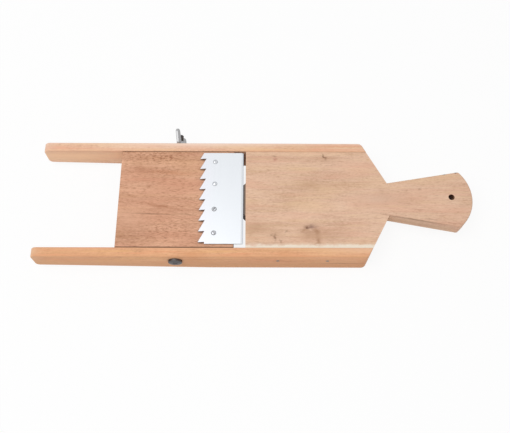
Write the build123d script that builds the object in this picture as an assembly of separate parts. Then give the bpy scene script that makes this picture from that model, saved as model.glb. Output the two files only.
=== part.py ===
from build123d import *
import os
from math import cos, radians, sin

# Wooden vegetable slicer: a handle board between two side rails, and an adjusting board
# that carries the blade and tilts on a bolt through both rails.
# All sizes are in millimetres. +X runs from the free rail ends to the handle tip,
# +Y goes from the bolt head to the wing nut, +Z is up.
# The origin is the middle of the footprint, on the surface that the rails stand on.

# Lengths along the slicer, in order from the free rail ends
fork_reach = 74.6            # rail ends to the adjusting board
adjusting_board_length = 105.9
board_gap = 10.8             # adjusting board to handle board
handle_board_length = 109.3  # straight part, up to the shoulders
taper_length = 21.8
handle_length = 65.7         # neck to the corners of the handle end
handle_bulge = 12.5          # how far the rounded end stands past those corners

# Widths and heights
inner_width = 97.0           # between the rails
rail_width = 8.6
rail_height = 30.5
top_recess = 1.0             # rails stand this much above the boards
board_thickness = 15.0
neck_width = 32.4
handle_end_width = 56.0

# Rail ends
end_lift = 7.0               # how far the rail's underside rises at the free end
lift_length = 160.0
nose_round = 5.5             # upper corner at the free end
toe_round = 4.0              # lower corner at the free end
shoulder_round = 5.0         # outer corner where the slant starts
shoulder_skew = 0.6          # how much further along the bolt head's side is sawn
rail_edge_ease = 0.6         # flat on each long edge

# Handle
handle_end_skew = 4.4        # how much further the end's corner reaches on the nut's side
handle_end_shift = 2.0       # end's furthest point, towards the wing nut's side
handle_edge_round = 1.4
handle_corner_round = 2.5
hole_from_tip = 19.5
hole_shift = 1.8             # towards the wing nut's side
hole_diameter = 5.5

# Tongue under the blade, at the middle of the handle board's edge
tongue_root_width = 33.0
tongue_drop = 2.3            # below the board's top, so that it stops the lowered blade
tongue_clearance = 1.2       # to the adjusting board

# Adjusting board
board_side_clearance = 0.5
board_edge_round = 0.6
pivot_from_board_end = 53.6
pivot_drop = 11.5            # rail top to the bolt's axis

# Blade plate
blade_thickness = 1.0
blade_front_gap = 3.4        # rail to the plate, on the bolt head's side
blade_rear_gap = 2.1         # rail to the plate, on the wing nut's side
blade_width = 34.7           # sharp edge to the bottom of the teeth
blade_slot = 2.2             # sharp edge to the handle board
bevel_width = 2.0
bevel_depth = 0.75
tooth_pitch = 10.45
tooth_depth = 5.7
tooth_hook = 0.4             # how far a tooth's point leans past the notch behind it
first_tooth_inset = 6.0      # plate's end to the first tooth's point

# Blade screws
screw_places_across = (-34.6, -11.3, 14.1, 37.0)  # from the middle plane, spaced by eye
screw_from_edge = 26.4       # sharp edge to the row of screws
screw_shank_diameter = 3.0
screw_head_diameter = 4.6
screw_head_height = 1.2
screw_length = 11.0
screw_hole_clearance = 0.1

# Rail nails
nail_from_slot = (29.2, 74.0)  # handle board's edge to each nail
nail_drop = 11.5               # rail top to the nail's axis
nail_diameter = 1.8
nail_head_diameter = 3.2
nail_head_thickness = 0.8
nail_length = 36.0

# Pivot bolt, washer and wing nut
bolt_diameter = 5.0
bolt_head_diameter = 12.5
bolt_head_height = 3.0
bolt_head_rim = 2.0          # straight part of the head's height
square_neck_length = 3.3
bolt_end_reach = 14.3        # past the rail's outer face
bolt_end_chamfer = 0.6
pivot_clearance = 0.05
washer_diameter = 12.0
washer_thickness = 1.0
washer_clearance = 0.15
nut_base_diameter = 10.5
nut_top_diameter = 8.0
nut_hub_height = 5.5
nut_clearance = 0.05
wing_reach = 13.0            # bolt's axis to a wing's tip
wing_height = 15.4           # nut's base to the top of its wings
wing_tip_radius = 3.5
wing_root_radius = 4.0
wing_root_offset = 5.4       # from the bolt's axis
wing_root_height = 4.4       # above the nut's base
wing_thickness = 2.6
wing_edge_ease = 0.5
wing_lean = 13.0             # degrees from upright, towards the free rail ends

# Places along X
total_length = (fork_reach + adjusting_board_length + board_gap + handle_board_length
                + taper_length + handle_length + handle_bulge)
x_rail_end = -total_length / 2
x_board_start = x_rail_end + fork_reach
x_board_end = x_board_start + adjusting_board_length
x_handle_board = x_board_end + board_gap
x_taper = x_handle_board + handle_board_length
x_neck = x_taper + taper_length
x_handle_end = x_neck + handle_length
x_tip = x_handle_end + handle_bulge
x_pivot = x_board_start + pivot_from_board_end
x_sharp_edge = x_handle_board - blade_slot
x_tooth_root = x_sharp_edge - blade_width
x_screws = x_sharp_edge - screw_from_edge
x_hole = x_tip - hole_from_tip

# Places across Y, set so that the bolt head and the wing nut reach equally far from Y = 0
half_inner = inner_width / 2
half_outer = half_inner + rail_width
blade_length = inner_width - blade_front_gap - blade_rear_gap
blade_shift = (blade_front_gap - blade_rear_gap) / 2
front_reach = half_outer + bolt_head_height
rear_reach = half_outer + max(bolt_end_reach, washer_thickness + wing_height)
y_middle = (front_reach - rear_reach) / 2
y_front_face = y_middle - half_outer
y_rear_face = y_middle + half_outer

# Places up Z
z_board_top = rail_height - top_recess
z_board_bottom = z_board_top - board_thickness
z_pivot = rail_height - pivot_drop
z_blade_top = z_board_top + blade_thickness


def shoulder_x(half_width, side):
    """X of a slanted shoulder where it is half_width from the middle plane."""
    slope = taper_length / (half_outer - neck_width / 2)
    return x_taper - side * shoulder_skew / 2 + (half_outer - half_width) * slope


def across(x, y, z, towards=1):
    """Plane at a point, looking along +Y or -Y."""
    return Plane(origin=(x, y, z), x_dir=(1, 0, 0), z_dir=(0, towards, 0))


def nail(x, side):
    """Round nail driven in flush from a rail's outer face, along Y; its point is left off."""
    place = across(x, y_middle + side * half_outer, rail_height - nail_drop, -side)
    head = extrude(Circle(nail_head_diameter / 2), nail_head_thickness)
    return place * (extrude(Circle(nail_diameter / 2), nail_length) + head)


def rail_nails(side):
    return [nail(x_handle_board + reach, side) for reach in nail_from_slot]


def dome(diameter, height):
    """Low round head: a slice of a ball that stands on Z = 0."""
    radius = diameter / 2
    ball_radius = (radius ** 2 + height ** 2) / (2 * height)
    ball = Pos(0, 0, height - ball_radius) * Sphere(ball_radius)
    return ball & Pos(0, 0, height / 2) * Box(2 * diameter, 2 * diameter, height)


def bolt_bore(diameter):
    """Round hole along the pivot axis, right through the slicer."""
    return across(x_pivot, y_front_face, z_pivot) * extrude(Circle(diameter / 2), 2 * half_outer)


def square_neck():
    return across(x_pivot, y_front_face, z_pivot) * extrude(
        Rectangle(bolt_diameter, bolt_diameter), square_neck_length)


def sawn_shoulder(side):
    """Block that holds all of one side of the slicer up to the slanted shoulder."""
    near = half_inner - rail_width
    far = half_outer + rail_width
    plan = make_face(Polyline((x_rail_end - 1, side * near), (x_rail_end - 1, side * far),
                              (shoulder_x(far, side), side * far),
                              (shoulder_x(near, side), side * near), close=True))
    return Pos(0, y_middle, 0) * extrude(plan, rail_height)


def rail(side):
    """Side rail: a bar with a rounded nose and toe, sawn along the shoulder, its edges eased."""
    x_stop = shoulder_x(half_inner - rail_width, side)
    profile = make_face(Polyline((x_rail_end, rail_height), (x_rail_end, end_lift),
                                 (x_rail_end + lift_length, 0), (x_stop, 0),
                                 (x_stop, rail_height), close=True))
    nose = profile.vertices().sort_by_distance((x_rail_end, rail_height))[0]
    profile = fillet(nose, nose_round)
    toe = profile.vertices().sort_by_distance((x_rail_end, end_lift))[0]
    profile = fillet(toe, toe_round)
    y_bar = y_middle + side * (half_inner + half_outer) / 2
    side_view = Plane(origin=(0, y_bar, 0), x_dir=(1, 0, 0), z_dir=(0, -1, 0))
    shape = sawn_shoulder(side) & (side_view * extrude(profile, rail_width / 2, both=True))

    upright = shape.edges().filter_by(Axis.Z).filter_by(lambda edge: edge.center().X > 0)
    shoulder = upright.sort_by(lambda edge: side * edge.center().Y)[-1]
    shape = fillet(shoulder, shoulder_round)
    rims = [edge for face in shape.faces().filter_by(Axis.Y) for edge in face.edges()
            if abs(edge.tangent_at(0.5).Z) < 0.99 or edge.center().X < 0]
    return chamfer(rims, rail_edge_ease)


def front_rail():
    shape = rail(-1) - bolt_bore(bolt_diameter) - square_neck()
    return shape - rail_nails(-1)


def rear_rail():
    return rail(1) - bolt_bore(bolt_diameter) - rail_nails(1)


def handle_board():
    """Board with slanted shoulders, a flaring handle with a rounded end, and a tongue."""
    neck = neck_width / 2
    x_skew = handle_end_skew / 2
    front_end = (x_handle_end - x_skew, -handle_end_width / 2)
    rear_end = (x_handle_end + x_skew, handle_end_width / 2)
    sides = Polyline(front_end, (shoulder_x(neck, -1), -neck),
                     (shoulder_x(half_inner, -1), -half_inner), (x_handle_board, -half_inner),
                     (x_handle_board, half_inner), (shoulder_x(half_inner, 1), half_inner),
                     (shoulder_x(neck, 1), neck), rear_end)
    rounded_end = ThreePointArc(rear_end, (x_tip, handle_end_shift), front_end)
    outline = make_face([sides, rounded_end])
    corners = outline.vertices().filter_by(lambda corner: corner.X > x_neck + 1)
    outline = fillet(corners, handle_corner_round)
    blank = Pos(0, y_middle, z_board_bottom) * extrude(outline, board_thickness)
    rim = blank.edges().filter_by(lambda edge: edge.center().X > x_neck
                                  and abs(edge.tangent_at(0.5).Z) < 0.5)
    board = fillet(rim, handle_edge_round)

    reach = board_gap - tongue_clearance
    root = tongue_root_width / 2
    tongue = make_face(Polyline((x_handle_board, root), (x_handle_board, -root),
                                (x_handle_board - reach, reach - root),
                                (x_handle_board - reach, root - reach), close=True))
    board += Pos(0, y_middle, z_board_bottom) * extrude(tongue, board_thickness - tongue_drop)

    hole = Pos(x_hole, y_middle + hole_shift, z_board_bottom) * extrude(
        Circle(hole_diameter / 2), board_thickness)
    return board - hole - rail_nails(-1) - rail_nails(1)


def screw_places():
    """Middles of the screw heads, on the top of the blade plate."""
    return [(x_screws, y_middle + place, z_blade_top) for place in screw_places_across]


def adjusting_board():
    """Plain board that tilts between the rails, with the pivot bore and the screw holes."""
    width = inner_width - 2 * board_side_clearance
    middle = (x_board_start + x_board_end) / 2
    blank = Pos(middle, y_middle, z_board_bottom + board_thickness / 2) * Box(
        adjusting_board_length, width, board_thickness)
    board = fillet(blank.edges().filter_by(Axis.Y), board_edge_round)
    board -= bolt_bore(bolt_diameter + 2 * pivot_clearance)
    for x, y, z in screw_places():
        board -= Pos(x, y, z - screw_length) * extrude(Circle(screw_shank_diameter / 2), screw_length)
    return board


def tooth_points():
    """Saw edge from the plate's far end: a long slanted back and a short hooked front each."""
    y_far = blade_length / 2
    x_point = x_tooth_root - tooth_depth
    count = int((blade_length - first_tooth_inset) / tooth_pitch) + 1
    points = [(x_point + tooth_depth * first_tooth_inset / tooth_pitch, y_far)]
    for index in range(count):
        y_point = y_far - first_tooth_inset - tooth_pitch * index
        points += [(x_point, y_point - tooth_hook), (x_tooth_root, y_point)]
    return points + [(x_tooth_root, -y_far)]


def blade_plate():
    """One steel plate: saw teeth on one edge, a sharpened bevel on the other."""
    y_end = blade_length / 2
    outline = make_face(Polyline(*tooth_points(), (x_sharp_edge, -y_end), (x_sharp_edge, y_end),
                                 close=True))
    plate = Pos(0, y_middle + blade_shift, z_board_top) * extrude(outline, blade_thickness)
    wedge = make_face(Polyline((x_sharp_edge, z_blade_top - bevel_depth),
                               (x_sharp_edge, z_blade_top),
                               (x_sharp_edge - bevel_width, z_blade_top), close=True))
    side_view = Plane(origin=(0, y_middle, 0), x_dir=(1, 0, 0), z_dir=(0, -1, 0))
    plate -= side_view * extrude(wedge, blade_length, both=True)
    for x, y, z in screw_places():
        radius = screw_shank_diameter / 2 + screw_hole_clearance
        plate -= Pos(x, y, z_board_top) * extrude(Circle(radius), blade_thickness)
    return plate


def blade_screw():
    """Round-headed wood screw, its seat at Z = 0; its thread, slot and point are left off."""
    shank = extrude(Circle(screw_shank_diameter / 2), -screw_length)
    return dome(screw_head_diameter, screw_head_height) + shank


def blade_screws():
    return Compound(children=[Pos(*place) * blade_screw() for place in screw_places()])


def pivot_bolt():
    """Round-headed bolt with a square neck, right through both rails and the adjusting board."""
    rim = extrude(Circle(bolt_head_diameter / 2), bolt_head_rim)
    crown = Pos(0, 0, bolt_head_rim) * dome(bolt_head_diameter, bolt_head_height - bolt_head_rim)
    head = across(x_pivot, y_front_face, z_pivot, -1) * (rim + crown)
    length = 2 * half_outer + bolt_end_reach
    shank = extrude(Circle(bolt_diameter / 2), length)
    shank = chamfer(shank.edges().sort_by(Axis.Z)[-1], bolt_end_chamfer)
    return head + across(x_pivot, y_front_face, z_pivot) * shank + square_neck()


def washer():
    ring = Circle(washer_diameter / 2) - Circle(bolt_diameter / 2 + washer_clearance)
    return across(x_pivot, y_rear_face, z_pivot) * extrude(ring, washer_thickness)


def wing_nut():
    """Tapered hub with two rounded ears that rise outwards from it."""
    lean = radians(wing_lean)
    seat = Plane(origin=(x_pivot, y_rear_face + washer_thickness, z_pivot),
                 x_dir=(-sin(lean), 0, cos(lean)), z_dir=(0, 1, 0))
    hub = Cone(nut_base_diameter / 2, nut_top_diameter / 2, nut_hub_height,
               align=(Align.CENTER, Align.CENTER, Align.MIN))
    tip = Pos(wing_reach - wing_tip_radius, wing_height - wing_tip_radius) * Circle(wing_tip_radius)
    root = Pos(wing_root_offset, wing_root_height) * Circle(wing_root_radius)
    ear_outline = make_hull((tip + root).edges())
    ear = Plane.XZ * extrude(ear_outline, wing_thickness / 2, both=True)
    ear = chamfer(ear.edges().filter_by(lambda edge: abs(edge.tangent_at(0.5).Y) < 0.1),
                  wing_edge_ease)
    nut = hub + ear + ear.mirror(Plane.YZ)
    nut -= extrude(Circle(bolt_diameter / 2 + nut_clearance), nut_hub_height + wing_height)
    return seat * nut


def save(shape, node):
    export_step(shape, f"parts/{node}.step")


os.makedirs("parts", exist_ok=True)
save(handle_board(), "handle_board")
save(front_rail(), "front_rail")
save(rear_rail(), "rear_rail")
save(Compound(children=rail_nails(-1)), "front_rail_nails")
save(Compound(children=rail_nails(1)), "rear_rail_nails")
save(adjusting_board(), "adjusting_board")
save(blade_plate(), "blade_plate")
save(blade_screws(), "blade_screws")
save(pivot_bolt(), "pivot_bolt")
save(washer(), "washer")
save(wing_nut(), "wing_nut")
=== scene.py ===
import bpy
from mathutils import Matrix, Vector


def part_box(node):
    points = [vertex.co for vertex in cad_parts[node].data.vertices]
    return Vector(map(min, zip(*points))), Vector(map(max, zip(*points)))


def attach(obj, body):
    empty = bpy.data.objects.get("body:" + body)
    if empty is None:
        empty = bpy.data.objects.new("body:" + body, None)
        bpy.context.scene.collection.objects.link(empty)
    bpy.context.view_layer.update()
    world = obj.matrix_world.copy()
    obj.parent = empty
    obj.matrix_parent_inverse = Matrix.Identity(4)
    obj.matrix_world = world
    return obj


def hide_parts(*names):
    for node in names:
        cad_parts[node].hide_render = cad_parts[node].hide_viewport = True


bl_info = {
    "name": "Wooden vegetable slicer",
    "version": (1, 0, 0),
    "blender": (4, 5, 0),
    "location": "3D View > Sidebar > Slicer",
    "description": "Gives a wooden vegetable slicer its woods, its steels and its threads",
    "category": "Object",
}

from math import pi, radians

import bmesh
import bpy
import numpy as np
from mathutils import Matrix, Vector

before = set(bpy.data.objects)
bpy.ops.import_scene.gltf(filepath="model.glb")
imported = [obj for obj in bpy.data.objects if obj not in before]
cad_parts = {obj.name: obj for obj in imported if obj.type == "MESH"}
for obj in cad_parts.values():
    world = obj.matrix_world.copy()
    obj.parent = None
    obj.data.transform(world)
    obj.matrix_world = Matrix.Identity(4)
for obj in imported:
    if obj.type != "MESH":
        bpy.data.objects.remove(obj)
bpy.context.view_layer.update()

MM = 0.001
SMOOTH_ANGLE = radians(35)  # a turned surface is smooth but for edges sharper than this
WAVES_PER_UNIT = 3.18  # rings that Blender's wave pattern draws over one unit at scale 1

# Middle of the slicer across Y, from the two rails, and the height of the rails' top
front_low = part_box("front_rail")[0]
rear_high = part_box("rear_rail")[1]
y_middle = (front_low[1] + rear_high[1]) / 2
rail_top = rear_high[2]

# Places for the marks on the wood, in millimetres from that plane and from the ground: a rail's
# outer side, its inner side and just above its top, and the middle of a board's height with a
# reach right through it
RAIL_SIDE, RAIL_INNER, RAIL_TOP = 57.1, 48.5, 31
BOARD_MIDDLE, BOARD_REACH = 22, 60


def to_linear(code):
    """Linear red, green, blue and alpha of an sRGB hex colour such as "#C8A080"."""
    srgb = np.array([int(code[place:place + 2], 16) for place in (1, 3, 5)]) / 255
    linear = np.where(srgb <= 0.04045, srgb / 12.92, ((srgb + 0.055) / 1.055) ** 2.4)
    return (*(float(value) for value in linear), 1.0)


def colour(name, code, description):
    """A colour property whose default is an sRGB hex value."""
    return bpy.props.FloatVectorProperty(name=name, description=description, subtype="COLOR",
                                         size=4, min=0, max=1, default=to_linear(code))


def length(name, millimetres, description):
    """A length property in metres whose default is given in millimetres."""
    return bpy.props.FloatProperty(name=name, description=description, unit="LENGTH",
                                   precision=5, min=0, default=millimetres * MM)


def number(name, default, description, **limits):
    """A plain number property."""
    return bpy.props.FloatProperty(name=name, description=description, default=default, **limits)


class SlicerWood(bpy.types.PropertyGroup):
    handle_tone: colour("Handle board", "#E6C0A5", "Middle tone of the handle board")
    front_tone: colour("Front rail", "#EBB48A", "Middle tone of the rail on the bolt head's side")
    rear_tone: colour("Rear rail", "#EFC5A8", "Middle tone of the rail on the wing nut's side")
    board_tone: colour("Adjusting board", "#D8A688", "Middle tone of the adjusting board")
    sapwood: colour("Sapwood", "#F6E9D6", "Pale stripe along the handle board's edge")
    knot: colour("Knots", "#7A5640", "Heart of the knots and the dark streaks")
    # This colour is used mostly for painted shade in the joints, in the hanging hole and under the
    # teeth, and also for the chips on the handle's edge
    shade_and_dirt: colour("Dirt", "#4B3A30", "Dirt in the joints, in the hanging hole and under the teeth")
    ring_spacing: length("Ring spacing", 3.4, "Width of one year's growth ring")
    fibre_width: length("Fibre width", 0.8, "Width of a bundle of fibres, coarse enough to show")
    fibre_length: length("Fibre length", 9.0, "Length of one bundle of fibres")
    pore_depth: length("Pore depth", 0.05, "Depth of the open pores")
    # Reach of the painted shade in joints and corners
    shade_reach: length("Dirt reach", 2.0, "How near another face stands where dirt gathers")


class SlicerSteel(bpy.types.PropertyGroup):
    blade: colour("Blade", "#D3D6DA", "Bright rolled sheet of the blade")
    plated: colour("Plated steel", "#C6C8CC", "Screws and washer")
    cast: colour("Wing nut", "#AEAEAF", "Zinc-plated casting of the wing nut")
    # This colour also paints the shade on the blade's cut edges
    shade_and_grime: colour("Grime", "#4A4644", "Dirt along the edges and in the screws' slots")
    bolt: colour("Bolt", "#646263", "Dull dark steel of the bolt")
    nail: colour("Nails", "#8C8781", "Bare wire nails")
    thread_pitch: length("Thread pitch", 0.8, "Distance between two turns of the bolt's thread")
    thread_depth: length("Thread depth", 0.45, "Crest to root of the bolt's thread")
    thread_run: length("Thread run", 30.0, "Threaded length at the bolt's end")
    bolt_diameter: length("Bolt diameter", 5.0, "Bolt's plain part, and side of its square neck")
    neck_length: length("Neck length", 3.3, "Square part of the bolt under its head")
    head_rim: length("Head rim", 2.0, "Straight part of the bolt head's height")
    end_chamfer: length("End chamfer", 0.6, "Bevel round the bolt's end")
    recess_diameter: length("Recess diameter", 4.2, "Shallow round recess in the bolt head's face")
    recess_depth: length("Recess depth", 0.5, "Depth of that recess")
    screw_slot_width: length("Screw slot width", 0.8, "Width of the slot across a screw's head")
    screw_slot_depth: length("Screw slot depth", 0.85, "Depth of that slot")
    screw_shank: length("Screw shank", 3.0, "Diameter of a screw over its thread")
    screw_pitch: length("Screw pitch", 1.3, "Distance between two turns of a screw's thread")


class SlicerStage(bpy.types.PropertyGroup):
    backdrop: colour("Backdrop", "#FFFFFF", "Floor and background behind the slicer")
    lens: number("Lens", 47.8, "Focal length of the camera in mm", min=10, max=300)
    camera_place: bpy.props.FloatVectorProperty(
        name="Camera place", description="From the middle of the slicer, at the rails' top",
        subtype="TRANSLATION", precision=5, default=(-4.6 * MM, -258.5 * MM, 565.35 * MM))
    camera_dip: number("Camera dip", 67.0, "Degrees that it looks below the horizon", max=89)
    camera_heading: number("Camera heading", 1.0, "Degrees that it looks towards the handle")
    camera_roll: number("Camera roll", 1.1, "Degrees that the camera leans to one side")
    lamp_side: bpy.props.FloatVectorProperty(
        name="Lamp side", description="Direction from the slicer to the main lamp",
        subtype="XYZ", default=(-0.35, -0.15, 1.0))
    lamp_distance: number("Lamp distance", 1.6, "From the slicer to the main lamp", min=0.2,
                          unit="LENGTH")
    lamp_width: number("Lamp width", 1.2, "Diameter of the main lamp", min=0.01, unit="LENGTH")
    lamp_level: number("Lamp level", 0.50, "Share of plain light that the main lamp gives",
                       min=0, max=2)
    sky_level: number("Sky level", 0.50, "Share of plain light from all round", min=0, max=2)
    shadow: number("Shadow", 0.10, "Share of the slicer's shadow that the floor shows",
                   min=0, max=1)


def add(tree, kind, inputs=None, **settings):
    """Adds one shader node. An input takes a value, or an output that is linked to it."""
    node = tree.nodes.new("ShaderNode" + kind)
    for name, value in settings.items():
        setattr(node, name, value)
    for socket, value in (inputs or {}).items():
        if isinstance(value, bpy.types.NodeSocket):
            tree.links.new(value, node.inputs[socket])
        else:
            node.inputs[socket].default_value = value
    return node


def new_material(name):
    """An empty node material and its tree."""
    material = bpy.data.materials.new(name)
    material.use_nodes = True
    material.node_tree.nodes.clear()
    return material, material.node_tree


def dress(node_name, material):
    """Gives a CAD node its material."""
    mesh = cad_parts[node_name].data
    mesh.materials.clear()
    mesh.materials.append(material)


def node_points(node_name):
    """The points of a CAD node's mesh, one row for each."""
    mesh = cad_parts[node_name].data
    flat = np.empty(len(mesh.vertices) * 3)
    mesh.vertices.foreach_get("co", flat)
    return flat.reshape(-1, 3)


def place_in_mm(tree):
    """Object coordinates in millimetres, with Y counted from the slicer's middle plane."""
    coordinates = add(tree, "TexCoord").outputs["Object"]
    return add(tree, "Mapping", {"Vector": coordinates, "Location": (0, -y_middle / MM, 0),
                                 "Scale": (1 / MM, 1 / MM, 1 / MM)}).outputs[0]


def grain(tree, place, size, detail, seed=0.0):
    """Noise from 0 to 1 whose blobs are size = (x, y, z) millimetres across."""
    scale = tuple(1 / extent for extent in size)
    local = add(tree, "Mapping", {"Vector": place, "Scale": scale, "Location": (seed, seed, seed)})
    return add(tree, "TexNoise", {"Vector": local.outputs[0], "Scale": 1.0, "Detail": detail,
                                  "Roughness": 0.55}).outputs["Fac"]


def spot(tree, place, middle, reach, turn=0.0):
    """Soft spot: (1 - d) squared, where d is 0 at its middle and 1 at its reach in mm."""
    local = add(tree, "Mapping", {"Vector": place, "Location": middle, "Scale": reach,
                                  "Rotation": (0, 0, radians(turn))}, vector_type="TEXTURE")
    return add(tree, "TexGradient", {"Vector": local.outputs[0]},
               gradient_type="QUADRATIC_SPHERE").outputs["Fac"]


def lay_over(tree, base, over, share, strength):
    """Lays one colour over another by a share from 0 to 1, times a strength."""
    amount = add(tree, "Math", {0: share, 1: strength}, operation="MULTIPLY", use_clamp=True)
    return add(tree, "Mix", {0: amount.outputs[0], 6: base, 7: over}, data_type="RGBA").outputs[2]


def shaded(tone, *factors):
    """A lighter or darker version of a linear colour, by one factor or one for each channel."""
    factors = factors * 3 if len(factors) == 1 else factors
    return (*(min(1.0, channel * factor) for channel, factor in zip(tone, factors)), 1.0)


def growth_rings(tree, place, pith, spacing):
    """Rings round the tree's pith, a line that runs nearly along X through (y, z) in mm.

    Lengths along X count for a tenth, so the rings waver slowly along the board. Each ring is a
    slow rise and a sharp fall, like a year's pale early wood and its darker late wood.
    """
    lean = (0, radians(0.9), radians(0.6))
    local = add(tree, "Mapping", {"Vector": place, "Location": (0, -pith[0], -pith[1]),
                                  "Scale": (0.1, 1, 1), "Rotation": lean})
    scale = 1 / (spacing * WAVES_PER_UNIT)
    return add(tree, "TexWave", {"Vector": local.outputs[0], "Scale": scale, "Distortion": 5.0,
                                 "Detail": 2.0, "Detail Scale": 0.25, "Detail Roughness": 0.5},
               wave_type="RINGS", rings_direction="X", wave_profile="SAW").outputs["Fac"]


def on_board(mark_colour, strength, x, y, reach_x, reach_y, turn=0):
    """One mark for wood() that shows the same on a board's top and all through the board."""
    return (mark_colour, strength, (x, y, BOARD_MIDDLE), (reach_x, reach_y, BOARD_REACH), turn)


def stained(tree, place, surface, stains):
    """Lays on stains (colour, strength, axis, from, to): each colour comes in along one axis."""
    parts = add(tree, "SeparateXYZ", {0: place})
    for stain_colour, strength, axis, start, end in stains:
        share = add(tree, "MapRange", {"Value": parts.outputs[axis], "From Min": start,
                                       "From Max": end})
        surface = lay_over(tree, surface, stain_colour, share.outputs[0], strength)
    return surface


def wood(name, tone, pith, seed, contrast, pores, streaks, marks, lines, stains=(), flecked=()):
    """Planed bare hardwood: growth rings, fibres along X, short dark pores, slow changes of tone.

    The tone follows the weighted sum of the patterns. Marks are soft spots laid over it, each
    given as (colour, strength, middle, reach, turn) in millimetres and degrees; a ripple makes
    their outlines uneven. Lines are marks with a clean outline, and flecked zones,
    (strength, middle, reach), hold coarser pores.
    """
    sizes = bpy.context.scene.slicer_wood
    material, tree = new_material(name)
    place = place_in_mm(tree)
    width = sizes.fibre_width / MM
    run = sizes.fibre_length / MM
    late_wood, early_wood = shaded(tone, 0.56, 0.44, 0.36), shaded(tone, 1.30, 1.34, 1.36)
    red, yellow = shaded(tone, 1.00, 0.84, 0.80), shaded(tone, 1.03, 1.04, 0.84)
    pore, fleck = shaded(tone, 0.52, 0.38, 0.30), shaded(tone, 0.45, 0.30, 0.22)
    end_tone = shaded(tone, 0.70, 0.60, 0.52)
    crevice_shade_strength, end_strength = 0.5, 0.45

    fibres = grain(tree, place, (run, width, width), 4.0, seed)
    patterns = (
        (growth_rings(tree, place, pith, sizes.ring_spacing / MM), 0.14),
        (fibres, 0.80),
        # Wide bundles of fibres, long bands, broad clouds, and the mottle between the fibres
        (grain(tree, place, (run * 5, width * 3, width * 3), 3.0, seed + 3), 0.34),
        (grain(tree, place, (150, 7, 7), 3.0, seed + 5), 0.45),
        (grain(tree, place, (55, 24, 24), 2.0, seed + 7), 0.90),
        (grain(tree, place, (2.4, 1.6, 1.6), 2.0, seed + 8), 0.60),
    )
    level = 0.5
    for pattern, share in patterns:
        part = add(tree, "Math", {0: pattern, 1: share * contrast, 2: -share * contrast / 2},
                   operation="MULTIPLY_ADD")
        level = add(tree, "Math", {0: part.outputs[0], 1: level}, operation="ADD").outputs[0]
    ramp = add(tree, "ValToRGB", {"Fac": level})
    ramp.color_ramp.elements[0].color = late_wood
    ramp.color_ramp.elements[1].color = early_wood
    ramp.color_ramp.elements.new(0.5).color = tuple(tone)
    surface = ramp.outputs["Color"]

    # Drift between a redder and a yellower tone, slow and in thin streaks, as the heart and the
    # outer wood mix
    for size, strength, offset in (((90, 20, 20), 0.50, 9), ((60, 2.4, 2.4), streaks, 21)):
        drift = grain(tree, place, size, 2.0, seed + offset)
        for drift_tone, limit, share in ((red, 0.70, 1.0), (yellow, 0.30, 0.8)):
            amount = add(tree, "MapRange", {"Value": drift, "From Min": 0.50, "From Max": limit})
            surface = lay_over(tree, surface, drift_tone, amount.outputs[0], strength * share)

    # Open pores, cut lengthways by the plane into short dark dashes. Real ones are a tenth of a
    # millimetre wide, and these are drawn wide enough to show.
    dashes = grain(tree, place, (run / 2, width / 1.3, width / 1.3), 2.0, seed + 11)
    dash_share = add(tree, "MapRange", {"Value": dashes, "From Min": 0.55,
                                        "From Max": 0.68}).outputs[0]
    surface = lay_over(tree, surface, pore, dash_share, pores)
    coarse = grain(tree, place, (3.2, 1.1, 1.1), 2.0, seed + 13)
    coarse_share = add(tree, "MapRange", {"Value": coarse, "From Min": 0.50,
                                          "From Max": 0.64}).outputs[0]
    for strength, middle, reach in flecked:
        zone = spot(tree, place, middle, reach)
        share = add(tree, "Math", {0: zone, 1: coarse_share}, operation="MULTIPLY").outputs[0]
        surface = lay_over(tree, surface, fleck, share, strength)

    # The ripple moves a mark's outline by up to 2.5 mm either way
    ripple = grain(tree, place, (5, 2.5, 5), 3.0, seed + 17)
    shift = add(tree, "Math", {0: ripple, 1: 5.0, 2: -2.5}, operation="MULTIPLY_ADD").outputs[0]
    offset = add(tree, "CombineXYZ", {"X": shift, "Y": shift})
    rippled = add(tree, "VectorMath", {0: place, 1: offset.outputs[0]}, operation="ADD").outputs[0]
    for ground, spots in ((rippled, marks), (place, lines)):
        for mark_colour, strength, middle, reach, turn in spots:
            share = spot(tree, ground, middle, reach, turn)
            surface = lay_over(tree, surface, mark_colour, share, strength)
    surface = stained(tree, place, surface, stains)

    # Painted shade in joints and corners: darker where other faces stand near
    closeness = add(tree, "AmbientOcclusion", {"Distance": sizes.shade_reach},
                    samples=16).outputs["AO"]
    crevice_shade = add(tree, "Math", {0: 1.0, 1: closeness}, operation="SUBTRACT").outputs[0]
    surface = lay_over(tree, surface, tuple(sizes.shade_and_dirt), crevice_shade, crevice_shade_strength)

    # End grain drinks in more light than the long faces
    normal = add(tree, "SeparateXYZ", {0: add(tree, "TexCoord").outputs["Normal"]})
    facing = add(tree, "Math", {0: normal.outputs["X"]}, operation="ABSOLUTE")
    end_grain = add(tree, "MapRange", {"Value": facing.outputs[0], "From Min": 0.75}).outputs[0]
    surface = lay_over(tree, surface, end_tone, end_grain, end_strength)

    # Fibres stand up a little and pores go down
    roughness = add(tree, "MapRange", {"Value": fibres, "To Min": 0.52, "To Max": 0.74})
    relief = add(tree, "Math", {0: dash_share, 1: -0.6, 2: fibres}, operation="MULTIPLY_ADD")
    bump = add(tree, "Bump", {"Height": relief.outputs[0], "Strength": 0.35,
                              "Distance": sizes.pore_depth * 3})
    shader = add(tree, "BsdfPrincipled", {"Base Color": surface, "Roughness": roughness.outputs[0],
                                          "Normal": bump.outputs[0], "Specular IOR Level": 0.25})
    add(tree, "OutputMaterial", {"Surface": shader.outputs[0]})
    return material


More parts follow.
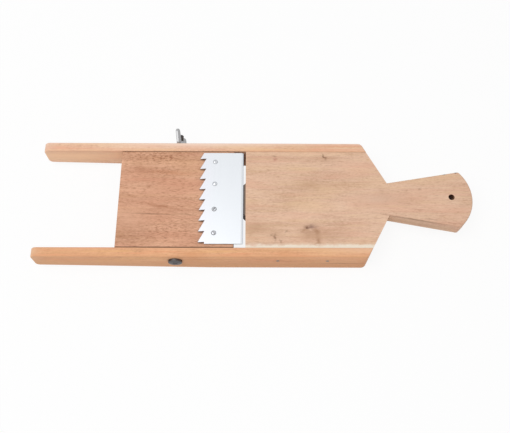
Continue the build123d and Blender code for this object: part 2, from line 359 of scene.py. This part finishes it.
class SLICER_OT_handle_board(bpy.types.Operator):
    """Dresses the handle board in pale planed birch with knots and a sapwood edge"""
    bl_idname = "slicer.handle_board"
    bl_label = "Handle board"

    def execute(self, context):
        tones = context.scene.slicer_wood
        tone, knot, shade_and_dirt = tones.handle_tone, tuple(tones.knot), tuple(tones.shade_and_dirt)
        brown = shaded(tone, 0.62, 0.52, 0.44)
        rust = to_linear("#9A5B42")
        pink = to_linear("#C08474")
        plum = to_linear("#97766B")
        amber = to_linear("#B98A3E")
        # Grey of the painted shade on the tongue under the blade
        tongue_shade = to_linear("#827C77")
        marks = (
            # Sapwood along the edge
            on_board(tuple(tones.sapwood), 3.0, 40, -49.6, 320, 7.0, 0.2),
            # Large knot: a soft cloud, a bent brown band round a pale eye, and its dark heart
            on_board(brown, 0.70, 49, -35, 19, 14),
            on_board(brown, 0.45, 66, -37, 36, 12),
            on_board(plum, 1.10, 51.0, -28.2, 9.5, 4.2, -4),
            on_board(brown, 1.50, 55.0, -33.0, 7.0, 4.6, -62),
            on_board(brown, 1.35, 56.6, -41.5, 7.5, 4.4, -84),
            on_board(brown, 1.10, 43.7, -31.4, 5.5, 2.8),
            on_board(knot, 1.30, 46.8, -28.6, 5.2, 2.8),
            on_board(tuple(tone), 1.00, 49.6, -30.9, 3.6, 1.6, -30),
            # Small knots beside it, on a brownish ground
            on_board(brown, 0.80, 0, -30, 28, 13),
            on_board(brown, 0.50, 19, -36, 18, 11),
            on_board(brown, 0.50, 24, -26, 60, 4),
            on_board(knot, 1.00, 17.5, -38.5, 6.0, 1.9, -86),
            on_board(knot, 0.60, 22.8, -41.5, 4.0, 1.9, -75),
            on_board(knot, 0.80, 28.1, -32.2, 2.4, 1.9),
            on_board(knot, 0.50, 14.6, -35.8, 3.0, 1.6),
            # Streaks along the other edge
            on_board(brown, 0.40, 40, 41, 60, 5),
            on_board(knot, 1.50, 64.9, 43.0, 6.2, 2.6, -64),
            on_board(pink, 1.10, 18.4, 40.6, 3.8, 3.4),
            on_board(knot, 0.70, 17.5, 43.5, 5.0, 1.5),
            on_board(amber, 0.80, 105.6, 40.1, 3.0, 1.5, -20),
            # Soft smudges in the middle and at the neck
            on_board(brown, 0.45, 50.0, 13.0, 34, 13),
            on_board(brown, 0.45, 67.0, 42.0, 20, 8),
            on_board(brown, 0.35, 117.8, 5, 13, 12),
            on_board(knot, 0.55, 152.3, 10.1, 2.2, 2.0),
            on_board(rust, 0.60, 150.3, -10.8, 12, 1.4),
            on_board(knot, 0.60, 161.0, -20.7, 12, 1.2, -5),
            on_board(rust, 0.60, 177.0, -24.0, 16, 1.3, -5),
            on_board(shaded(tone, 0.99, 1.05, 1.09), 0.7, 112, 0, 46, 13),
        )
        lines = (
            # Handle's side on the bolt head's side, worn darker
            (brown, 0.50, (155, -22, 20), (80, 7, 10), -10),
            (knot, 0.80, (146, -20.6, 29), (60, 1.3, 3), -10),
            # Chips on the handle's far edge
            (shade_and_dirt, 1.60, (176.4, 25.4, 29.3), (3.4, 1.5, 2.5), 9),
            (shade_and_dirt, 1.60, (187.4, 27.0, 29.3), (2.6, 1.5, 2.5), 9),
            # Wall of the hanging hole, painted dark brown as the shade inside it
            on_board(shaded(shade_and_dirt, 1.60, 0.95, 0.62), 90.0, 180.8, 1.8, 3.1, 3.1),
        )
        # The tongue, from the board's end on, is painted grey as the shade under the blade
        stains = ((tongue_shade, 0.82, "X", -8.9, -9.4),)
        # Birch, planed and left bare: pale and pinkish, with short faint fibres and brown knots
        dress("handle_board", wood("birch planed handle board", tone, pith=(9, -46), seed=18.7,
                                   contrast=0.72, pores=0.32, streaks=0.45, marks=marks,
                                   lines=lines, stains=stains))
        return {"FINISHED"}


class SLICER_OT_rails(bpy.types.Operator):
    """Dresses the two rails in planed beech, rubbed paler at their free ends"""
    bl_idname = "slicer.rails"
    bl_label = "Rails"

    def execute(self, context):
        tones = context.scene.slicer_wood
        self.front(tones)
        self.rear(tones)
        return {"FINISHED"}

    def front(self, tones):
        tone, knot = tones.front_tone, tuple(tones.knot)
        brown = shaded(tone, 0.66, 0.52, 0.42)
        side, inner, top = -RAIL_SIDE, -RAIL_INNER, RAIL_TOP
        marks = (
            # Pale end and cream top towards the handle, redder shades, and brown round the metal
            (shaded(tone, 1.0, 1.16, 1.34), 1.3, (-200, -53, 26), (15, 16, 22), 0),
            (shaded(tone, 1.08, 1.20, 1.36), 1.5, (105, -49, 32), (105, 11, 9), 0),
            (shaded(tone, 0.86, 0.70, 0.58), 1.1, (112, -57, 12), (44, 5, 20), 0),
            (shaded(tone, 0.90, 0.78, 0.68), 0.9, (-57, -56, 30), (22, 8, 8), 0),
            (shaded(tone, 0.90, 0.80, 0.72), 0.8, (-52, -57, 18), (34, 5, 16), 0),
            (shaded(tone, 0.96, 0.92, 0.88), 0.7, (-165, -53, 26), (70, 16, 30), 0),
            (shaded(tone, 0.90, 0.80, 0.70), 0.7, (26, -56, 30), (14, 7, 8), 0),
            (shaded(tone, 0.96, 0.82, 0.72), 0.8, (60, -57, 4), (110, 5, 12), 0),
            (shaded(tone, 1.00, 1.06, 1.22), 0.8, (-140, -57, 6), (90, 5, 13), 0),
            (brown, 0.60, (30, side, 19), (60, 2, 2.2), 0),
            (brown, 0.60, (20.2, side, 19), (7, 4, 4), 0),
            (brown, 0.35, (65.0, side, 19), (5, 4, 3.4), 0),
            (brown, 0.50, (-52, side, 23), (26, 4, 2.6), 0),
            (brown, 0.60, (-72.1, side, 19), (11, 2, 9), 0),
        )
        lines = (
            # Paler inner edge, browner outer edge and side, painted shade on the side's lower part,
            # and painted shade in the joint beside the adjusting board
            (shaded(tone, 1.00, 1.02, 1.12), 0.8, (0, inner, top), (500, 4, 8), 0),
            (shaded(tone, 0.95, 0.88, 0.84), 0.9, (0, side, top), (900, 4, 5), 0),
            (shaded(tone, 0.80, 0.77, 0.74), 0.8, (0, side, 8), (900, 3, 22), 0),
            (knot, 1.6, (-73, -48.4, 30), (62, 0.9, 3), 0),
            # Streaks of late wood on the side and on the top
            (knot, 0.50, (78, side, 12.6), (42, 4, 2.4), 0),
            (brown, 0.60, (30, side, 17), (14, 4, 1.6), 0),
            (brown, 0.45, (20, -51.6, top), (70, 1.3, 4), 0.6),
            (brown, 0.45, (50, -53.4, top), (60, 1.2, 4), -0.4),
            (shaded(tone, 1.02, 1.12, 0.98), 0.7, (42, -50.2, top), (60, 1.5, 4), 0),
        )
        # Beech, planed: a warm orange tan with long faint streaks, redder towards the handle
        dress("front_rail", wood("beech planed front rail", tone, pith=(18, 92), seed=36.1,
                                 contrast=0.95, pores=0.35, streaks=1.00, marks=marks,
                                 lines=lines))

    def rear(self, tones):
        tone = tones.rear_tone
        brown = shaded(tone, 0.84, 0.60, 0.46)
        side, inner, top = RAIL_SIDE, RAIL_INNER, RAIL_TOP
        marks = (
            # Pale end, and brown streaks along the top
            (shaded(tone, 1.0, 1.10, 1.22), 0.8, (-200, 53, 26), (20, 16, 26), 0),
            (shaded(tone, 0.98, 0.84, 0.78), 0.7, (80, 54, 30), (60, 3.0, 3), 0),
            (brown, 0.60, (18, 53.0, top), (50, 1.8, 6), 0),
            (brown, 0.60, (80, 53.6, top), (44, 1.7, 6), 0),
            (brown, 0.45, (50, 50.4, top), (80, 1.5, 6), 0),
            (brown, 0.35, (-120, 51.0, top), (60, 1.6, 6), 0),
        )
        lines = (
            # Cream outer edge with a redder inner edge, and painted light on the inner side's upper
            # part with painted shade on its lower part
            (shaded(tone, 1.12, 1.30, 1.50), 1.3, (-50, side, top), (160, 9, 10), 0),
            (shaded(tone, 1.08, 1.22, 1.40), 0.8, (60, side, top), (900, 4, 10), 0),
            (shaded(tone, 1.00, 0.88, 0.80), 0.8, (40, inner, top), (700, 4.5, 10), 0),
            (shaded(tone, 1.20, 1.16, 1.06), 1.2, (-165, inner, 20), (200, 3, 18), 0),
            (shaded(tone, 0.90, 0.84, 0.80), 0.8, (-165, inner, 2), (90, 4, 9), 0),
        )
        # Beech, planed: paler and pinker than the other rail
        dress("rear_rail", wood("beech planed rear rail", tone, pith=(-25, 80), seed=110.7,
                                contrast=1.15, pores=0.34, streaks=1.20, marks=marks, lines=lines))


class SLICER_OT_adjusting_board(bpy.types.Operator):
    """Dresses the adjusting board in darker, flecked beech"""
    bl_idname = "slicer.adjusting_board"
    bl_label = "Adjusting board"

    def execute(self, context):
        tones = context.scene.slicer_wood
        tone, knot, shade_and_dirt = tones.board_tone, tuple(tones.knot), tuple(tones.shade_and_dirt)
        brown = shaded(tone, 0.62, 0.46, 0.36)
        rust = shaded(tone, 0.92, 0.72, 0.56)
        marks = (
            # A rusty smear and two dark lines that run together
            on_board(rust, 0.80, -80, 26, 30, 4.5, -6),
            on_board(knot, 0.55, -83, 26.5, 12, 1.4, -4),
            on_board(brown, 0.80, -84, -8.5, 34, 3.2, -10),
            on_board(brown, 0.35, -90, 42, 60, 6),
            on_board(brown, 0.30, -90, -36, 60, 7),
            on_board(brown, 0.55, -107, 30, 18, 9),
            on_board(shaded(tone, 1.10, 1.12, 1.14), 0.8, -114, -22, 34, 26),
        )
        lines = (
            # Fine dark lines, and painted shadows under the teeth
            on_board(knot, 0.75, -95, -15.8, 34, 1.2, -2),
            on_board(knot, 0.50, -62, -16.4, 16, 1.1, -8),
            on_board(knot, 0.90, -81, -39.3, 2.2, 0.9, -40),
            *self.painted_tooth_shadows(shade_and_dirt),
        )
        # Painted shade along the long side next to the bolt head, in the gap beside the rail
        stains = ((shade_and_dirt, 0.6, "Y", -47.2, -47.8),)
        flecked = (
            (1.40, (-92, 42, 29), (60, 12, 20)),
            (0.70, (-85, -30, 29), (70, 26, 20)),
            (0.80, (-85, 27, 29), (44, 10, 20)),
        )
        # Beech, flat-sawn: redder than the rails, with the short brown flecks of its rays
        dress("adjusting_board", wood("beech flecked board", tone, pith=(14, -38), seed=95.3,
                                      contrast=1.10, pores=0.70, streaks=0.30, marks=marks,
                                      lines=lines, stains=stains, flecked=flecked))
        return {"FINISHED"}

    def painted_tooth_shadows(self, shade_and_dirt):
        """A thin dark line of painted shadow on the wood along each tooth's short edge, from the
        blade's points.
        """
        points = node_points("blade_plate")
        tip_x = points[:, 0].min()
        at_tip = points[:, 0] < tip_x + 0.1 * MM
        tips = np.unique(points[at_tip, 1].round(4))
        behind, aside, wood_top = 3.4, 0.45, 29  # the line's middle, from the tooth's tip
        return [(shade_and_dirt, 1.2, (tip_x / MM + behind, (tip_y - y_middle) / MM - aside, wood_top),
                 (5.4, 1.4, 6), 4) for tip_y in tips.tolist()]


def steel(name, tone, roughness, speck, relief, cloud_share=0.18, stains=(), side_shade_share=0.0):
    """Steel with the unevenness of its making: fine lines or specks, and a slow dulling.

    speck is the size of a line or speck and relief its height, in millimetres. A sheet's cut
    edges, which don't face up, are darkened towards the grime colour as painted shade, by the
    share given for them.
    """
    spread = 0.08  # of the roughness, either way
    material, tree = new_material(name)
    place = place_in_mm(tree)
    lines = grain(tree, place, speck, 4.0)
    cloud = grain(tree, place, (9, 9, 9), 3.0, 5.0)
    surface = lay_over(tree, tuple(tone), shaded(tone, 0.72), cloud, cloud_share)
    surface = stained(tree, place, surface, stains)
    # Painted shade: faces that don't point up are darkened towards the grime colour
    if side_shade_share:
        normal = add(tree, "SeparateXYZ", {0: add(tree, "TexCoord").outputs["Normal"]})
        edge = add(tree, "MapRange", {"Value": normal.outputs["Z"], "From Min": 0.6,
                                      "From Max": 0.2})
        shade_and_grime = tuple(bpy.context.scene.slicer_steel.shade_and_grime)
        surface = lay_over(tree, surface, shade_and_grime, edge.outputs[0], side_shade_share)
    rough = add(tree, "MapRange", {"Value": lines, "To Min": roughness - spread,
                                   "To Max": roughness + spread})
    bump = add(tree, "Bump", {"Height": lines, "Strength": 0.25, "Distance": relief * MM})
    shader = add(tree, "BsdfPrincipled", {"Base Color": surface, "Roughness": rough.outputs[0],
                                          "Normal": bump.outputs[0], "Metallic": 1.0})
    add(tree, "OutputMaterial", {"Surface": shader.outputs[0]})
    return material


class SLICER_OT_blade(bpy.types.Operator):
    """Dresses the toothed blade plate in bright rolled steel"""
    bl_idname = "slicer.blade"
    bl_label = "Blade"

    def execute(self, context):
        # Rolled stainless sheet: a pale, even sheen with rolling lines along the edge, drawn half
        # a millimetre wide so that they show, a painted highlight on the ground bevel, and a thin
        # blue-grey line of painted shade where the edge itself falls away
        tone = context.scene.slicer_steel.blade
        sharp_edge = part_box("blade_plate")[1][0] / MM
        stains = (
            (shaded(tone, 1.12, 1.11, 1.09), 0.80, "X", sharp_edge - 2.1, sharp_edge - 1.9),
            (shaded(tone, 0.50, 0.56, 0.64), 0.80, "X", sharp_edge - 0.6, sharp_edge - 0.2),
            # Painted reflection: slightly warmer towards the teeth
            (shaded(tone, 1.01, 0.98, 1.00), 0.90, "X", sharp_edge - 26, sharp_edge - 38),
        )
        dress("blade_plate", steel("stainless steel bright rolled", tone, roughness=0.46,
                                   speck=(0.5, 50, 0.5), relief=0.006, cloud_share=0.06,
                                   stains=stains, side_shade_share=0.8))
        return {"FINISHED"}


def ring_faces(rows, turns):
    """Quads between neighbouring rings of a turned shape, and fans from a pole at each end.

    The points stand in rows of `turns`, and the two poles follow the last row.
    """
    row = np.arange(rows - 1)[:, None] * turns
    step = np.arange(turns)[None, :]
    ahead = (step + 1) % turns
    quads = np.stack([row + step, row + turns + step, row + turns + ahead, row + ahead], axis=-1)
    last = (rows - 1) * turns
    start_pole, end_pole = rows * turns, rows * turns + 1
    opening = np.stack([np.full(turns, start_pole), step[0], ahead[0]], axis=-1)
    closing = np.stack([np.full(turns, end_pole), last + ahead[0], last + step[0]], axis=-1)
    return quads.reshape(-1, 4).tolist() + opening.tolist() + closing.tolist()


def cap(radius, height, share):
    """Radius and height of points on a slice of a ball, from its top (share 0) to its foot (1)."""
    ball = (radius ** 2 + height ** 2) / (2 * height)
    angle = np.arcsin(radius / ball) * share
    return ball * np.sin(angle), height - ball * (1 - np.cos(angle))


def thread_groove(place, angle, pitch, depth):
    """Depth below the crest: a triangle wave that moves one pitch along for each turn."""
    phase = (place / pitch - angle / (2 * pi)) % 1.0
    return depth * np.abs(2 * phase - 1)


def carriage_bolt(sizes):
    """The bolt as one surface: its radius is a function of the place s along it and the angle a.

    From the head's face on: a flat round recess, the crown as a slice of a ball, the straight rim,
    the square neck (half its side over the larger of |cos a| and |sin a|), the plain shank, and
    the thread, whose radius falls by thread_groove(s, a) and is cut off by the end's chamfer.
    """
    turns, crown_rows, rows_per_pitch = 64, 40, 10
    low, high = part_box("pivot_bolt")
    face = front_low[1]
    height = face - low[1]
    head_radius = (high[2] - low[2]) / 2
    radius = sizes.bolt_diameter / 2
    end = high[1] - face
    thread_start = end - sizes.thread_run
    recess = sizes.recess_diameter / 2

    # Head: two rows on the recess's bottom, the recess's edge, the crown round it, and the rim
    whole_radius, whole_height = cap(head_radius, height - sizes.head_rim,
                                     np.linspace(0, 1, crown_rows))
    outside = whole_radius > recess
    crown_place = -sizes.head_rim - whole_height[outside]
    edge = crown_place[0]
    bottom = edge + sizes.recess_depth
    head_place = np.concatenate([[bottom, bottom, edge], crown_place, [0.0]])
    head_size = np.concatenate([[recess * 0.5, recess * 0.86, recess], whole_radius[outside],
                                [head_radius]])

    thread_rows = int(sizes.thread_run / sizes.thread_pitch * rows_per_pitch)
    thread_place = np.linspace(thread_start, end, thread_rows)
    shank_place = np.array([0.0, sizes.neck_length, sizes.neck_length, thread_start])
    place = np.concatenate([head_place, shank_place, thread_place[1:]])[:, None]
    shank_size = np.full(len(place) - len(head_size), radius)
    size = np.concatenate([head_size, shank_size])[:, None]

    angle = (np.arange(turns) * 2 * pi / turns)[None, :]
    square = 1 / np.maximum(np.abs(np.cos(angle)), np.abs(np.sin(angle)))
    is_square = np.zeros((len(place), 1), dtype=bool)
    is_square[len(head_place):len(head_place) + 2] = True
    fade = np.clip((place - thread_start) / (2 * sizes.thread_pitch), 0, 1)
    groove = thread_groove(place, angle, sizes.thread_pitch, sizes.thread_depth) * fade
    limit = radius - np.clip(place - (end - sizes.end_chamfer), 0, sizes.end_chamfer)
    threaded = np.where(place > thread_start, np.minimum(size - groove, limit), size)
    out = np.where(is_square, size * square, threaded)

    axis_x, axis_z = (low[0] + high[0]) / 2, (low[2] + high[2]) / 2
    points = np.stack([axis_x + out * np.cos(angle), face + place + 0 * angle,
                       axis_z + out * np.sin(angle)], axis=-1).reshape(-1, 3)
    poles = [(axis_x, face + bottom, axis_z), (axis_x, face + end, axis_z)]
    return np.vstack([points, poles]), ring_faces(len(place), turns)


def screw_head(radius, height, slot_width, slot_depth, turn):
    """A closed round head with a slot, on a grid of columns u across it and rows t along it.

    x = u, y = t * sqrt(radius^2 - u^2), and z is the cap's height, cut down to a level floor
    where |u| is less than half the slot's width. The same grid at z = 0 closes it below.
    """
    side_columns, row_count = 12, 21
    half = slot_width / 2
    across = np.sin(np.linspace(0, pi / 2, side_columns)) * (radius - half) + half
    columns = np.concatenate([-across[::-1], [-half, half], across])
    in_slot = np.zeros(len(columns), dtype=bool)
    in_slot[side_columns:side_columns + 2] = True
    rows = np.sin(np.linspace(-pi / 2, pi / 2, row_count))
    u, t = np.meshgrid(columns, rows, indexing="ij")
    v = t * np.sqrt(np.maximum(radius ** 2 - u ** 2, 0))
    ball = (radius ** 2 + height ** 2) / (2 * height)
    top = np.maximum(np.sqrt(ball ** 2 - u ** 2 - v ** 2) - (ball - height), 0)
    top = np.where(in_slot[:, None], np.minimum(top, height - slot_depth), top)
    x, y = u * np.cos(turn) - v * np.sin(turn), u * np.sin(turn) + v * np.cos(turn)
    upper = np.stack([x, y, top], axis=-1).reshape(-1, 3)
    lower = np.stack([x, y, 0 * top], axis=-1).reshape(-1, 3)
    corners = np.arange(len(columns) - 1)[:, None] * row_count + np.arange(row_count - 1)
    start = corners.reshape(-1)
    face_up = np.stack([start, start + row_count, start + row_count + 1, start + 1], axis=-1)
    face_down = face_up[:, ::-1] + len(upper)
    return np.vstack([upper, lower]), np.vstack([face_up, face_down]).tolist()


def screw_shank(sizes, depth):
    """A screw's shank below its head, as one surface r(s, a) that ends in a point.

    The radius falls in a straight line to almost nothing over the last quarter, and the thread's
    triangle wave is cut into it by a fifth of the radius.
    """
    turns, rows, tip_share, groove_share = 24, 160, 0.04, 0.2
    place = np.linspace(0, depth, rows)[:, None]
    angle = (np.arange(turns) * 2 * pi / turns)[None, :]
    size = sizes.screw_shank / 2 * np.clip((depth - place) / (depth / 4), tip_share, 1)
    out = size - thread_groove(place, angle, sizes.screw_pitch, groove_share * size)
    points = np.stack([out * np.cos(angle), -out * np.sin(angle), -place + 0 * angle], axis=-1)
    poles = [(0, 0, 0), (0, 0, -depth)]
    return np.vstack([points.reshape(-1, 3), poles]), ring_faces(len(place), turns)


def smooth_mesh(name, parts):
    """A smooth mesh object at the origin from (points, faces) pairs, its doubled points merged."""
    merge_distance = 1e-7
    points = np.vstack([part_points for part_points, _ in parts])
    starts = np.cumsum([0] + [len(part_points) for part_points, _ in parts[:-1]])
    faces = [[corner + int(start) for corner in face]
             for start, (_, part_faces) in zip(starts, parts) for face in part_faces]
    mesh = bpy.data.meshes.new(name)
    mesh.from_pydata(points.tolist(), [], faces)
    shape = bmesh.new()
    shape.from_mesh(mesh)
    bmesh.ops.remove_doubles(shape, verts=shape.verts, dist=merge_distance)
    bmesh.ops.dissolve_degenerate(shape, edges=shape.edges, dist=merge_distance)
    bmesh.ops.recalc_face_normals(shape, faces=shape.faces)
    shape.to_mesh(mesh)
    shape.free()
    mesh.shade_smooth()
    mesh.set_sharp_from_angle(angle=SMOOTH_ANGLE)
    piece = bpy.data.objects.new(name, mesh)
    bpy.context.scene.collection.objects.link(piece)
    return piece


class SLICER_OT_screws(bpy.types.Operator):
    """Makes the four slotted wood screws of the blade"""
    bl_idname = "slicer.screws"
    bl_label = "Blade screws"

    turns: bpy.props.FloatVectorProperty(
        name="Slot turns", description="Angle of each screw's slot", subtype="EULER", size=4,
        default=(0.5, 2.5, 1.3, 0.3))

    def execute(self, context):
        sizes = context.scene.slicer_steel
        low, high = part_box("blade_screws")
        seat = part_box("blade_plate")[1][2]
        radius = (high[0] - low[0]) / 2
        shank = screw_shank(sizes, seat - low[2])
        parts = []
        for middle, turn in zip(self.middles(), self.turns):
            head = screw_head(radius, high[2] - seat, sizes.screw_slot_width,
                              sizes.screw_slot_depth, turn)
            parts += [(points + (middle[0], middle[1], seat), faces)
                      for points, faces in (head, shank)]
        screws = smooth_mesh("slotted_screws", parts)
        # Zinc-plated screws: a light grey shine, darker low on the head and in its slot, and
        # cleaner on the two that stand on the wing nut's side
        crown = high[2] / MM
        stains = (
            (tuple(sizes.shade_and_grime), 0.70, "Z", crown - 0.74, crown - 0.86),
            (tuple(sizes.blade), 0.55, "Y", -2.0, 4.0),
        )
        screws.data.materials.append(steel("zinc plated screw steel", sizes.plated, roughness=0.38,
                                           speck=(1, 1, 1), relief=0.02, cloud_share=0.3,
                                           stains=stains))
        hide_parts("blade_screws")
        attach(screws, "blade_board")
        return {"FINISHED"}

    def middles(self):
        """Middle of each separate screw in the CAD node, sorted along Y."""
        least_gap = 5 * MM
        points = node_points("blade_screws")
        order = points[np.argsort(points[:, 1])]
        gaps = np.flatnonzero(np.diff(order[:, 1]) > least_gap) + 1
        return [(group.min(axis=0) + group.max(axis=0)) / 2 for group in np.split(order, gaps)]


class SLICER_OT_fasteners(bpy.types.Operator):
    """Dresses the nails, the washer and the wing nut"""
    bl_idname = "slicer.fasteners"
    bl_label = "Nails, washer and wing nut"

    def execute(self, context):
        steels = context.scene.slicer_steel
        # Zinc-plated washer: stamped sheet with a light, slightly cloudy shine
        dress("washer", steel("zinc plated steel", steels.plated, roughness=0.36,
                              speck=(1.2, 1.2, 1.2), relief=0.02))
        # Cast wing nut: a greyer zinc skin with the grit of its mould, drawn coarse enough to show
        dress("wing_nut", steel("zinc plated cast iron", steels.cast, roughness=0.50,
                                speck=(0.8, 0.8, 0.8), relief=0.06, cloud_share=0.4))
        # Bare wire nails: driven flush, dull and darkened by handling
        wire = steel("bare wire steel", steels.nail, roughness=0.55, speck=(0.5, 0.5, 0.5),
                     relief=0.02, cloud_share=0.5)
        dress("front_rail_nails", wire)
        dress("rear_rail_nails", wire)
        return {"FINISHED"}


class SLICER_OT_bolt(bpy.types.Operator):
    """Makes the carriage bolt with its thread cut, in place of the plain one"""
    bl_idname = "slicer.bolt"
    bl_label = "Carriage bolt"

    def execute(self, context):
        sizes = context.scene.slicer_steel
        bolt = smooth_mesh("carriage_bolt", [carriage_bolt(sizes)])
        # Black-finished mild steel: dark and dull, with a soft grey light on its rounded edge
        bolt.data.materials.append(steel("mild steel blackened", sizes.bolt, roughness=0.46,
                                         speck=(0.9, 0.9, 0.9), relief=0.03))
        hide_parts("pivot_bolt")
        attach(bolt, "frame")
        return {"FINISHED"}


def seen_directly(tree):
    """1 for what the camera sees straight, in a mirror or through glass, and 0 for light itself."""
    path = add(tree, "LightPath").outputs
    seen = path["Is Camera Ray"]
    for kind in ("Is Glossy Ray", "Is Transmission Ray"):
        seen = add(tree, "Math", {0: seen, 1: path[kind]}, operation="MAXIMUM").outputs[0]
    return seen


class SLICER_OT_stage(bpy.types.Operator):
    """Sets the pale floor, the soft lamps and the camera"""
    bl_idname = "slicer.stage"
    bl_label = "Stage"

    def execute(self, context):
        stage = context.scene.slicer_stage
        self.floor(stage)
        self.lamps(stage)
        self.camera(stage)
        context.scene.view_settings.view_transform = "Standard"
        return {"FINISHED"}

    def floor(self, stage):
        """Flat square floor, seen as white but for a share of the slicer's shadow."""
        half, height = 4.0, -0.2 * MM  # metres, just below the rails' feet
        mesh = bpy.data.meshes.new("floor")
        mesh.from_pydata([(-half, -half, height), (half, -half, height), (half, half, height),
                          (-half, half, height)], [], [(0, 1, 2, 3)])
        floor = bpy.data.objects.new("floor", mesh)
        bpy.context.scene.collection.objects.link(floor)
        # Matt white paper: shadows stay faint on it
        material, tree = new_material("paper white floor")
        paper = add(tree, "BsdfDiffuse", {"Color": shaded(stage.backdrop, 0.96)})
        white = add(tree, "Emission", {"Color": tuple(stage.backdrop), "Strength": 1.0})
        share = add(tree, "Math", {0: seen_directly(tree), 1: 1 - stage.shadow},
                    operation="MULTIPLY")
        mixed = add(tree, "MixShader", {0: share.outputs[0], 1: paper.outputs[0],
                                        2: white.outputs[0]})
        add(tree, "OutputMaterial", {"Surface": mixed.outputs[0]})
        mesh.materials.append(material)

    def lamps(self, stage):
        """Even light from all round and one large soft lamp overhead, a little to the left."""
        world = bpy.data.worlds.new("studio")
        bpy.context.scene.world = world
        world.use_nodes = True
        tree = world.node_tree
        tree.nodes.clear()
        strength = add(tree, "MapRange", {"Value": seen_directly(tree), "To Min": stage.sky_level,
                                          "To Max": 1.0})
        sky = add(tree, "Background", {"Color": tuple(stage.backdrop),
                                       "Strength": strength.outputs[0]})
        add(tree, "OutputWorld", {"Surface": sky.outputs[0]})

        lamp = bpy.data.lights.new("softbox", "AREA")
        lamp.shape = "DISK"
        lamp.size = stage.lamp_width
        lamp.energy = stage.lamp_level * pi ** 2 * stage.lamp_distance ** 2
        softbox = bpy.data.objects.new("softbox", lamp)
        bpy.context.scene.collection.objects.link(softbox)
        towards = Vector(stage.lamp_side).normalized()
        softbox.location = towards * stage.lamp_distance
        softbox.rotation_euler = towards.to_track_quat("Z", "Y").to_euler()

    def camera(self, stage):
        """Camera above the near side, with its place and directions fitted to the photo."""
        lens = bpy.data.cameras.new("camera")
        lens.lens = stage.lens
        camera = bpy.data.objects.new("camera", lens)
        bpy.context.scene.collection.objects.link(camera)
        dip, heading, roll = (radians(angle) for angle in (stage.camera_dip, stage.camera_heading,
                                                           stage.camera_roll))
        look = Vector((np.sin(heading) * np.cos(dip), np.cos(heading) * np.cos(dip), -np.sin(dip)))
        right = look.cross(Vector((0, 0, 1))).normalized()
        up = right.cross(look)
        turned_right = np.cos(roll) * right + np.sin(roll) * up
        turned_up = -np.sin(roll) * right + np.cos(roll) * up
        rotation = Matrix((turned_right, turned_up, -look)).transposed()
        place = Vector(stage.camera_place) + Vector((0, y_middle, rail_top))
        camera.matrix_world = Matrix.Translation(place) @ rotation.to_4x4()
        bpy.context.scene.camera = camera


class SLICER_PT_panel(bpy.types.Panel):
    """Lists the slicer's pieces and their sizes and colours"""
    bl_idname = "SLICER_PT_panel"
    bl_label = "Vegetable slicer"
    bl_space_type = "VIEW_3D"
    bl_region_type = "UI"
    bl_category = "Slicer"

    def draw(self, context):
        layout = self.layout
        for operator in OPERATORS:
            layout.operator(operator.bl_idname)
        for group_name, kind in GROUPS.items():
            for name in kind.__annotations__:
                layout.prop(getattr(context.scene, group_name), name)


OPERATORS = (SLICER_OT_handle_board, SLICER_OT_rails, SLICER_OT_adjusting_board, SLICER_OT_blade,
             SLICER_OT_screws, SLICER_OT_fasteners, SLICER_OT_bolt, SLICER_OT_stage)
GROUPS = {"slicer_wood": SlicerWood, "slicer_steel": SlicerSteel, "slicer_stage": SlicerStage}


def register():
    for group in GROUPS.values():
        bpy.utils.register_class(group)
    for operator in OPERATORS:
        bpy.utils.register_class(operator)
    bpy.utils.register_class(SLICER_PT_panel)
    for name, group in GROUPS.items():
        setattr(bpy.types.Scene, name, bpy.props.PointerProperty(type=group))


def unregister():
    for name in GROUPS:
        delattr(bpy.types.Scene, name)
    for kind in (SLICER_PT_panel, *reversed(OPERATORS), *GROUPS.values()):
        bpy.utils.unregister_class(kind)


def main():
    """Registers the classes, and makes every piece."""
    register()
    bpy.ops.slicer.handle_board()
    bpy.ops.slicer.rails()
    bpy.ops.slicer.adjusting_board()
    bpy.ops.slicer.blade()
    bpy.ops.slicer.screws()
    bpy.ops.slicer.fasteners()
    bpy.ops.slicer.bolt()
    bpy.ops.slicer.stage()


if __name__ == "__main__":
    main()
